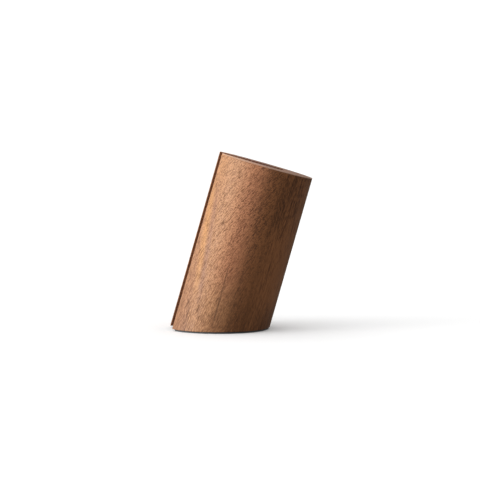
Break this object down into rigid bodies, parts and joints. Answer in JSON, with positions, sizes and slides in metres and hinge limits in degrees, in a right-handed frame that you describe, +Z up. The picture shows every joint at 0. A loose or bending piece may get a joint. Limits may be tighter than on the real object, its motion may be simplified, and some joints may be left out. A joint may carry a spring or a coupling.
{
  "type": "leaning pen stand",
  "caption": "Leaning walnut cylinder with a full-length open trough on its upper side that cradles dip pens upright on a desk.",
  "frame": {"origin": "centre of the base pad's underside, on the desk", "axes": "+Z up, +X the way the body leans, so the trough opens towards -X; the object mirrors across Y = 0"},
  "size_m": [0.087, 0.06, 0.1087],
  "materials": {
    "walnut": "satin oiled walnut with open pores, long grain on the side and end grain on the top",
    "pad_rubber": "matt charcoal anti-slip sheet",
    "ballast_steel": "sawn and turned bright bar"
  },
  "bodies": {
    "root": {"body": "walnut", "base_pad": "pad_rubber", "ballast_slug_1": "ballast_steel", "ballast_slug_2": "ballast_steel", "ballast_slug_3": "ballast_steel", "ballast_slug_4": "ballast_steel"}
  },
  "joints": []
}
